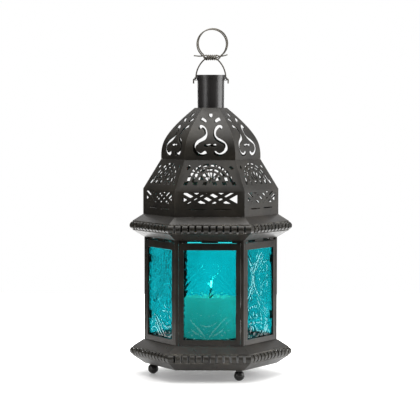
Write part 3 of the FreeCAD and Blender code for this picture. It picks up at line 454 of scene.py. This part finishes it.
def add_flame(looks):
    """A small teardrop flame just above the tip of the wick."""
    wick_top = Vector(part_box("candle_wick")[1]) / MM
    foot = wick_top.z + FLAME_GAP
    rows, columns = FLAME_ROWS, FLAME_COLUMNS
    points = [(0, 0, foot)]
    for row in range(1, rows):
        t = row / rows
        radius = FLAME_FAT * math.sin(math.pi * t ** 0.62) ** 0.9
        lean = FLAME_LEAN * math.sin(3 * t)
        for column in range(columns):
            a = 2 * math.pi * column / columns
            points.append((radius * math.cos(a) + lean, radius * math.sin(a), foot + FLAME_TALL * t))
    points.append((FLAME_LEAN * math.sin(3), 0, foot + FLAME_TALL))
    faces = []
    for column in range(columns):
        after = (column + 1) % columns
        faces.append((0, 1 + after, 1 + column))
        for row in range(rows - 2):
            a, b = 1 + row * columns, 1 + (row + 1) * columns
            faces.append((a + column, a + after, b + after, b + column))
        top = 1 + (rows - 2) * columns
        faces.append((top + column, top + after, len(points) - 1))
    mesh_piece("candle_flame", points, faces, looks["flame"], "lantern")


# ---------------------------------------------------------------- hanging ring
RING_WIRE = 0.5
# The two turns of the ring: middle across, middle level, radius, distance from the ring's plane.
RING_TURNS = ((0.65, 257.2, 11.4, -1.1), (1.55, 257.85, 11.4, 1.1))
# The coil that binds the ring to the bail: ends across, level, half height, half depth, turns.
COIL_LEFT, COIL_RIGHT, COIL_LEVEL = -3.6, 4.4, 246.9
COIL_TALL, COIL_DEEP, COIL_TURNS = 1.8, 1.95, 2.5


COIL_STEPS, TURN_STEPS = 40, 32


def coil_points(start_degrees):
    """One of the coil's two strands, from left to right round the bail."""
    points = []
    for step in range(COIL_STEPS + 1):
        t = step / COIL_STEPS
        turn = math.radians(start_degrees + 360 * COIL_TURNS * t)
        points.append((COIL_LEFT + (COIL_RIGHT - COIL_LEFT) * t, COIL_DEEP * math.cos(turn),
                       COIL_LEVEL + COIL_TALL * math.sin(turn)))
    return points


def turn_points(which, first, last):
    """Part of one turn of the ring, between two angles in degrees."""
    across, level, radius, depth = RING_TURNS[which]
    points = []
    for step in range(TURN_STEPS + 1):
        angle = math.radians(first + (last - first) * step / TURN_STEPS)
        points.append((across + radius * math.cos(angle), depth, level + radius * math.sin(angle)))
    return points


def smooth_line(points, steps):
    """A Catmull-Rom line through the points."""
    points = np.asarray(points, float)
    padded = np.vstack([2 * points[0] - points[1], points, 2 * points[-1] - points[-2]])
    line = []
    for a, b, c, d in zip(padded, padded[1:], padded[2:], padded[3:]):
        for t in np.arange(steps) / steps:
            line.append(0.5 * (2 * b + (c - a) * t + (2 * a - 5 * b + 4 * c - d) * t ** 2
                               + (3 * b - a - 3 * c + d) * t ** 3))
    return np.array(line + [points[-1]])


def wire(line, radius, sides=16):
    """A round wire along a line, with closed ends."""
    along = np.gradient(line, axis=0)
    along /= np.linalg.norm(along, axis=1)[:, None]
    across = np.cross(along[0], (0.0, 1.0, 0.1))
    points, faces = [], []
    for place, direction in zip(line, along):
        across = across - direction * across.dot(direction)
        across /= np.linalg.norm(across)
        other = np.cross(direction, across)
        for side in range(sides):
            angle = 2 * math.pi * side / sides
            points.append(place + radius * (across * math.cos(angle) + other * math.sin(angle)))
    for ring in range(len(line) - 1):
        for side in range(sides):
            after = (side + 1) % sides
            a, b = ring * sides, (ring + 1) * sides
            faces.append((a + side, a + after, b + after, b + side))
    faces += [tuple(range(sides))[::-1], tuple(range((len(line) - 1) * sides, len(line) * sides))]
    return points, faces


def add_ring(looks):
    """The hanging ring: one wire, wound twice, whose ends are coiled round the bail and stick out."""
    path = [(-13.2, -0.4, 248.3), (-9.0, -0.8, 247.9), (-6.0, -0.6, 248.1)]
    path += coil_points(90)
    path += [(6.6, -0.8, 246.3)] + turn_points(0, -50, 262)
    path += [(0.9, 0.0, 245.8)] + turn_points(1, 278, 590)
    path += [(-5.4, 0.8, 246.9)]
    path += coil_points(-90)
    path += [(7.0, -0.5, 247.9), (10.0, -0.7, 248.2), (12.9, -0.5, 249.1)]
    points, faces = wire(smooth_line(path, 4), RING_WIRE)
    ring = mesh_piece("wound_ring", points, faces, looks["dark_wire"], "ring")
    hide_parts("hanging_ring")


# ---------------------------------------------------------------- CAD nodes
# Width of the softened edges of each material, the angle that counts as an edge, and the weld distance.
SOFT_EDGE = {"dark_metal": 0.16, "pierced_sheet": 0.12, "plain_steel": 0.08, "candle_wax": 0.6}
EDGE_ANGLE = 32
WELD = 0.002


def finish_cad(looks):
    """Materials, softened edges and smooth shading for the CAD nodes that stay."""
    for name, obj in nodes.items():
        slot = slot_of_node[name]
        look = slot
        if name in ("chimney", "ear_collar"):
            look = "rolled_metal"
        # the bands take rubbed paint with a painted highlight on their rib edges
        elif "band" in name:
            look = "rubbed_sheen_metal"
        dress(obj, looks[look])
        if obj.hide_render:
            continue
        width = SOFT_EDGE.get(slot)
        if width:
            weld = obj.modifiers.new("weld", "WELD")
            weld.merge_threshold = WELD * MM
            bevel = obj.modifiers.new("soft_edges", "BEVEL")
            bevel.width = width * MM
            bevel.segments = 2
            bevel.limit_method = "ANGLE"
            bevel.angle_limit = math.radians(EDGE_ANGLE)
            bevel.harden_normals = False
            normals = obj.modifiers.new("even_shading", "WEIGHTED_NORMAL")
            normals.keep_sharp = False


# ---------------------------------------------------------------- stage and light
# Painted light on the table top: it glows, dimly in front of the lantern and brightly behind it, which
# lightens the shade under the lantern: place along Y, strength.
PAINTED_TABLE_GLOW = ((30, 0.20), (150, 1.4))


def stage_material(name, tone, rough):
    look = Look(name)
    mottle = look.spread(look.noise(0.004, 3.0, 0.5), 0.3, 0.7)
    split = look.node("ShaderNodeSeparateXYZ")
    look.link(look.place, split.inputs["Vector"])
    (front, front_painted_glow), (back, back_painted_glow) = PAINTED_TABLE_GLOW
    look.put(Base_Color=look.mix(mottle, (tone, tone, tone), (tone * 0.985, tone * 0.985, tone * 0.98)),
             Roughness=rough, Emission_Color=(1.0, 1.0, 1.0, 1.0),
             # painted light: the floor glows, rising from front to back
             Emission_Strength=look.spread(split.outputs["Y"], front, back, front_painted_glow, back_painted_glow))
    return look.material


def plate(name, corners, material):
    mesh = bpy.data.meshes.new(name)
    mesh.from_pydata([tuple(Vector(c) * MM) for c in corners], [], [tuple(range(len(corners)))])
    obj = bpy.data.objects.new(name, mesh)
    bpy.context.scene.collection.objects.link(obj)
    dress(obj, material)
    return obj


def add_light(name, place, target, width, height, power, colour=(1, 1, 1)):
    data = bpy.data.lights.new(name, "AREA")
    data.shape = "RECTANGLE"
    data.size, data.size_y = width * MM, height * MM
    data.energy = power
    data.color = colour
    obj = bpy.data.objects.new(name, data)
    obj.location = Vector(place) * MM
    obj.rotation_euler = (Vector(target) - Vector(place)).to_track_quat("-Z", "Z").to_euler()
    bpy.context.scene.collection.objects.link(obj)


# Strengths of the surroundings: a dim room, a bright backdrop behind, a bright ceiling.
ROOM, BACKDROP, CEILING = 0.05, 2.6, 1.05
CAMERA_WHITE = 1.0


def add_world():
    """A dim room with a bright backdrop and ceiling, plain white where the camera sees past them."""
    world = bpy.data.worlds.new("studio")
    bpy.context.scene.world = world
    world.use_nodes = True
    tree = world.node_tree
    background = tree.nodes["Background"]
    coordinates = tree.nodes.new("ShaderNodeTexCoord")
    split = tree.nodes.new("ShaderNodeSeparateXYZ")
    tree.links.new(coordinates.outputs["Generated"], split.inputs["Vector"])

    def ramp(axis, low, high, out_low, out_high):
        made = tree.nodes.new("ShaderNodeMapRange")
        made.interpolation_type = "SMOOTHSTEP"
        ends = {"From Min": low, "From Max": high, "To Min": out_low, "To Max": out_high}
        for socket, value in ends.items():
            made.inputs[socket].default_value = value
        tree.links.new(split.outputs[axis], made.inputs["Value"])
        return made.outputs["Result"]

    total = tree.nodes.new("ShaderNodeMath")
    total.operation = "ADD"
    tree.links.new(ramp("Y", 0.80, 0.93, ROOM, BACKDROP), total.inputs[0])
    tree.links.new(ramp("Z", 0.35, 0.80, 0.0, CEILING), total.inputs[1])
    seen = tree.nodes.new("ShaderNodeLightPath")
    choose = tree.nodes.new("ShaderNodeMix")
    tree.links.new(seen.outputs["Is Camera Ray"], choose.inputs["Factor"])
    tree.links.new(total.outputs["Value"], choose.inputs["A"])
    choose.inputs["B"].default_value = CAMERA_WHITE
    tree.links.new(choose.outputs["Result"], background.inputs["Strength"])
    background.inputs["Color"].default_value = (1, 1, 1, 1)


# The table top: half its width, its front edge and its back edge.
TABLE_SIDE, TABLE_FRONT, TABLE_BACK = 250, -230, 640


def add_stage():
    pale = stage_material("pale_floor", 0.86, 0.6)
    plate("floor", [(-TABLE_SIDE, TABLE_FRONT, 0), (TABLE_SIDE, TABLE_FRONT, 0), (TABLE_SIDE, TABLE_BACK, 0),
                    (-TABLE_SIDE, TABLE_BACK, 0)], pale)


def add_lights():
    """A warm softbox overhead, a large one on the right and a weak one on the left."""
    add_light("top_softbox", (0, 0, 1600), (0, 0, 100), 1500, 1500, 20, (1.0, 0.985, 0.96))
    add_light("right_softbox", (1500, -50, 420), (0, 0, 150), 1500, 1300, 28)
    add_light("left_softbox", (-1150, -870, 420), (0, 0, 150), 500, 1100, 5.0)


add_camera()
looks = make_materials()
add_glass(looks)
add_flame(looks)
add_ring(looks)
finish_cad(looks)
add_world()
add_stage()
add_lights()
bpy.context.scene.view_settings.view_transform = "Standard"
